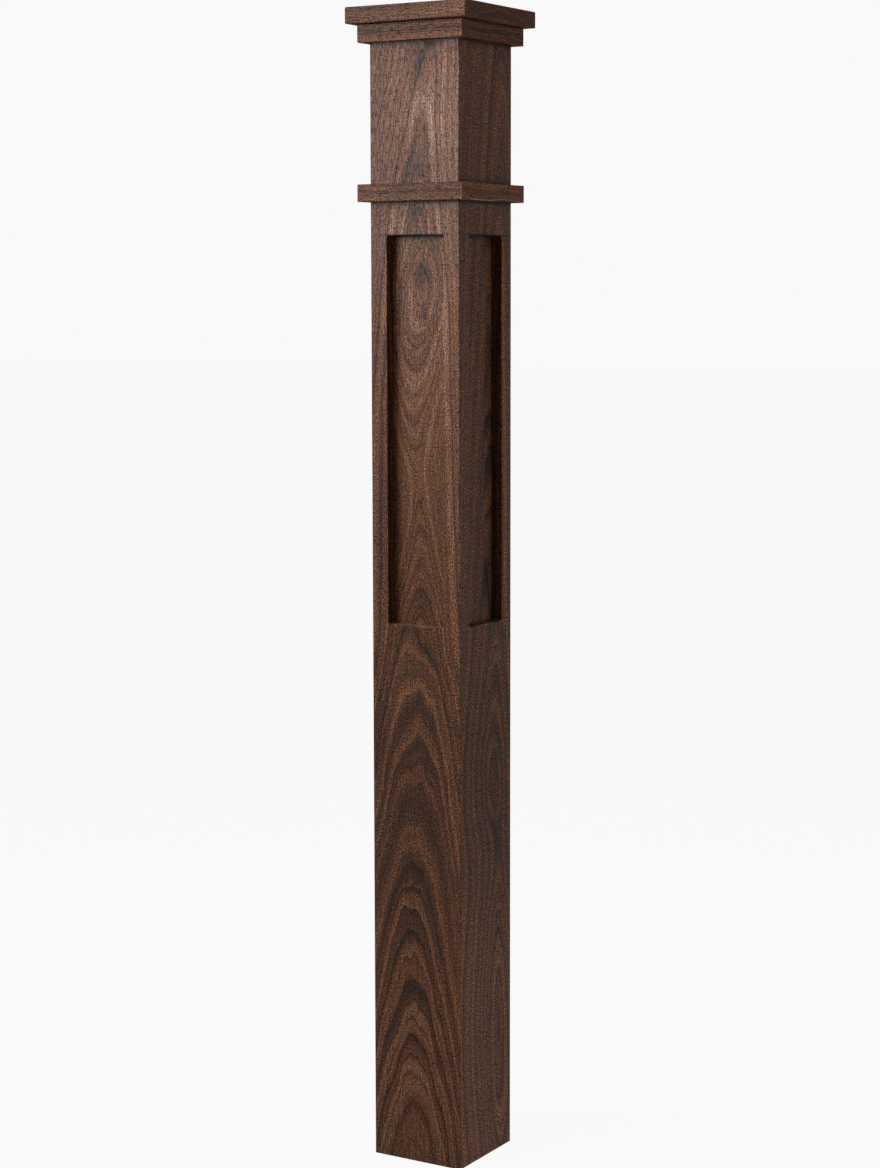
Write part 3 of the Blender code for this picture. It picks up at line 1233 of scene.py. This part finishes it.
def cut_boards():
    """The cut of each side board."""
    shared = {"face": BODY_HALF, "half": BODY_HALF, "low": 0.0, "high": BOARD_TOP}
    band_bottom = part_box("neck_band_front")[0].z
    moulding_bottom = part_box("under_cap_moulding_front")[0].z
    # Painted shade under the neck band, under the under-cap moulding and along each window's head, and a
    # painted highlight along each window's sill
    painted_shading_lines = (
        painted_shade_line(band_bottom, change=-0.50),
        painted_shade_line(moulding_bottom, reach=0.0045, change=-0.50),
        (0.0, WINDOW_HEAD, WINDOW_REACH, RIM_REACH, -0.60),
        (0.0, WINDOW_SILL, WINDOW_REACH, RIM_REACH, 0.25),
    )
    front = {
        "pith": FRONT_PITH,
        "taper": FRONT_TAPER,
        "drift": FRONT_DRIFT,
        "bands": FRONT_BANDS,
        "fade": (0.030, 0.110),
        "ground": FRONT_GROUND,
        "patches": FRONT_PATCHES + painted_shading_lines,
        "speckle": FRONT_SPECKLE,
        "seed": 0.31,
    }
    right = {
        "pith": level(0.026),
        "taper": RIGHT_TAPER,
        "drift": RIGHT_DRIFT,
        "bands": RIGHT_BANDS,
        "ground": RIGHT_GROUND,
        "patches": RIGHT_PATCHES + painted_shading_lines,
        "speckle": RIGHT_SPECKLE,
        "seed": 4.1,
    }
    back = {
        "pith": level(0.070),
        "taper": FRONT_TAPER,
        "drift": PLAIN_DRIFT,
        "bands": FRONT_BANDS,
        "fade": (0.030, 0.060),
        "plain": 0.54,
        "ground": FRONT_GROUND,
        "patches": painted_shading_lines,
        "seed": 7.3,
    }
    left = {
        "pith": level(0.060),
        "taper": PLAIN_TAPER,
        "drift": FRONT_DRIFT,
        "bands": FRONT_BANDS,
        "ground": FRONT_GROUND,
        "patches": painted_shading_lines,
        "seed": 9.7,
    }
    return cut_sides(shared, {"front": front, "right": right, "back": back, "left": left})


def cut_panels():
    """The cut of each panel."""
    # Painted shade across each panel just under its window's head
    head = painted_shade_line(WINDOW_HEAD)
    front = {
        "pith": PANEL_PITH,
        "taper": PANEL_TAPER,
        "drift": PANEL_DRIFT,
        "bands": PANEL_BANDS,
        "ground": PANEL_GROUND,
        "patches": PANEL_PATCHES + (head,),
        "speckle": level(0.98),
        "seed": 2.4,
    }
    right = {
        "pith": level(0.050),
        "taper": PLAIN_TAPER,
        "drift": RIGHT_DRIFT,
        "bands": RIGHT_BANDS,
        "ground": level(-0.01),
        "patches": (head,),
        "speckle": level(2.4),
        "seed": 5.2,
    }
    back = {
        "pith": level(0.024),
        "taper": PANEL_TAPER,
        "drift": PLAIN_DRIFT,
        "bands": PANEL_BANDS,
        "patches": (head,),
        "seed": 6.6,
    }
    left = {
        "pith": level(0.040),
        "taper": PLAIN_TAPER,
        "drift": FRONT_DRIFT,
        "bands": RIGHT_BANDS,
        "patches": (head,),
        "seed": 8.8,
    }
    shared = {"face": PANEL_FACE, **NO_WEAR_OR_HIGHLIGHT_EXTENT}
    return cut_sides(shared, {"front": front, "right": right, "back": back, "left": left})


def cut_strips(low, high, seed, tones, painted_shading_lines=()):
    """The cut of the four strips of a ring, whose front strip has that box."""
    cuts = {}
    for i, (side, turn) in enumerate(SIDES.items()):
        cuts[side] = Cut(
            face=-low.y,
            half=-low.y,
            low=low.z,
            high=high.z,
            turn=turn,
            upright=False,
            pith=level(0.020),
            taper=((-CAP_HALF, 0.0), (-0.02, 0.004), (0.03, 0.003), (CAP_HALF, 0.006)),
            drift=((-CAP_HALF, low.z - 0.030), (0.0, low.z - 0.033), (CAP_HALF, low.z - 0.031)),
            bands=LEVEL_BANDS,
            ground=tuple(zip((-CAP_HALF, 0.0, CAP_HALF), tones[side])),
            patches=painted_shading_lines,
            speckle=level(0.9),
            seed=seed + i * STRIP_SEED_STEP,
        )
    return cuts


def cut_cap():
    """The cut of the cap board."""
    low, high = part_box("cap_board")
    return Cut(
        face=CAP_HALF,
        half=CAP_HALF,
        low=low.z,
        high=high.z,
        upright=False,
        pith=level(-CAP_HALF),
        taper=((-CAP_HALF, -CAP_HALF), (0.0, 0.004 - CAP_HALF), (CAP_HALF, 0.002 - CAP_HALF)),
        drift=level(low.z - CAP_HEART),
        bands=CAP_BANDS,
        ground=CAP_GROUND,
        speckle=level(0.9),
        seed=23.0,
    )


PIECE_OPERATORS = (
    NEWEL_OT_side_boards,
    NEWEL_OT_recessed_panels,
    NEWEL_OT_neck_band,
    NEWEL_OT_under_cap_moulding,
    NEWEL_OT_cap_board,
    NEWEL_OT_stage,
)
GROUPS = {"newel_easing": NewelEasing, "newel_walnut": NewelWalnut, "newel_studio": NewelStudio}


def register():
    """Register the settings, the operators and the panel."""
    for cls in (*GROUPS.values(), *PIECE_OPERATORS, NEWEL_PT_sidebar):
        bpy.utils.register_class(cls)
    for name, cls in GROUPS.items():
        setattr(bpy.types.Scene, name, PointerProperty(type=cls))


def unregister():
    """Take everything back out."""
    for name in GROUPS:
        delattr(bpy.types.Scene, name)
    groups = tuple(GROUPS.values())
    for cls in (NEWEL_PT_sidebar, *reversed(PIECE_OPERATORS), *reversed(groups)):
        bpy.utils.unregister_class(cls)


def main():
    """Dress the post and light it."""
    register()
    bpy.ops.newel.side_boards()
    bpy.ops.newel.recessed_panels()
    bpy.ops.newel.neck_band()
    bpy.ops.newel.under_cap_moulding()
    bpy.ops.newel.cap_board()
    bpy.ops.newel.stage()


if __name__ == "__main__":
    main()
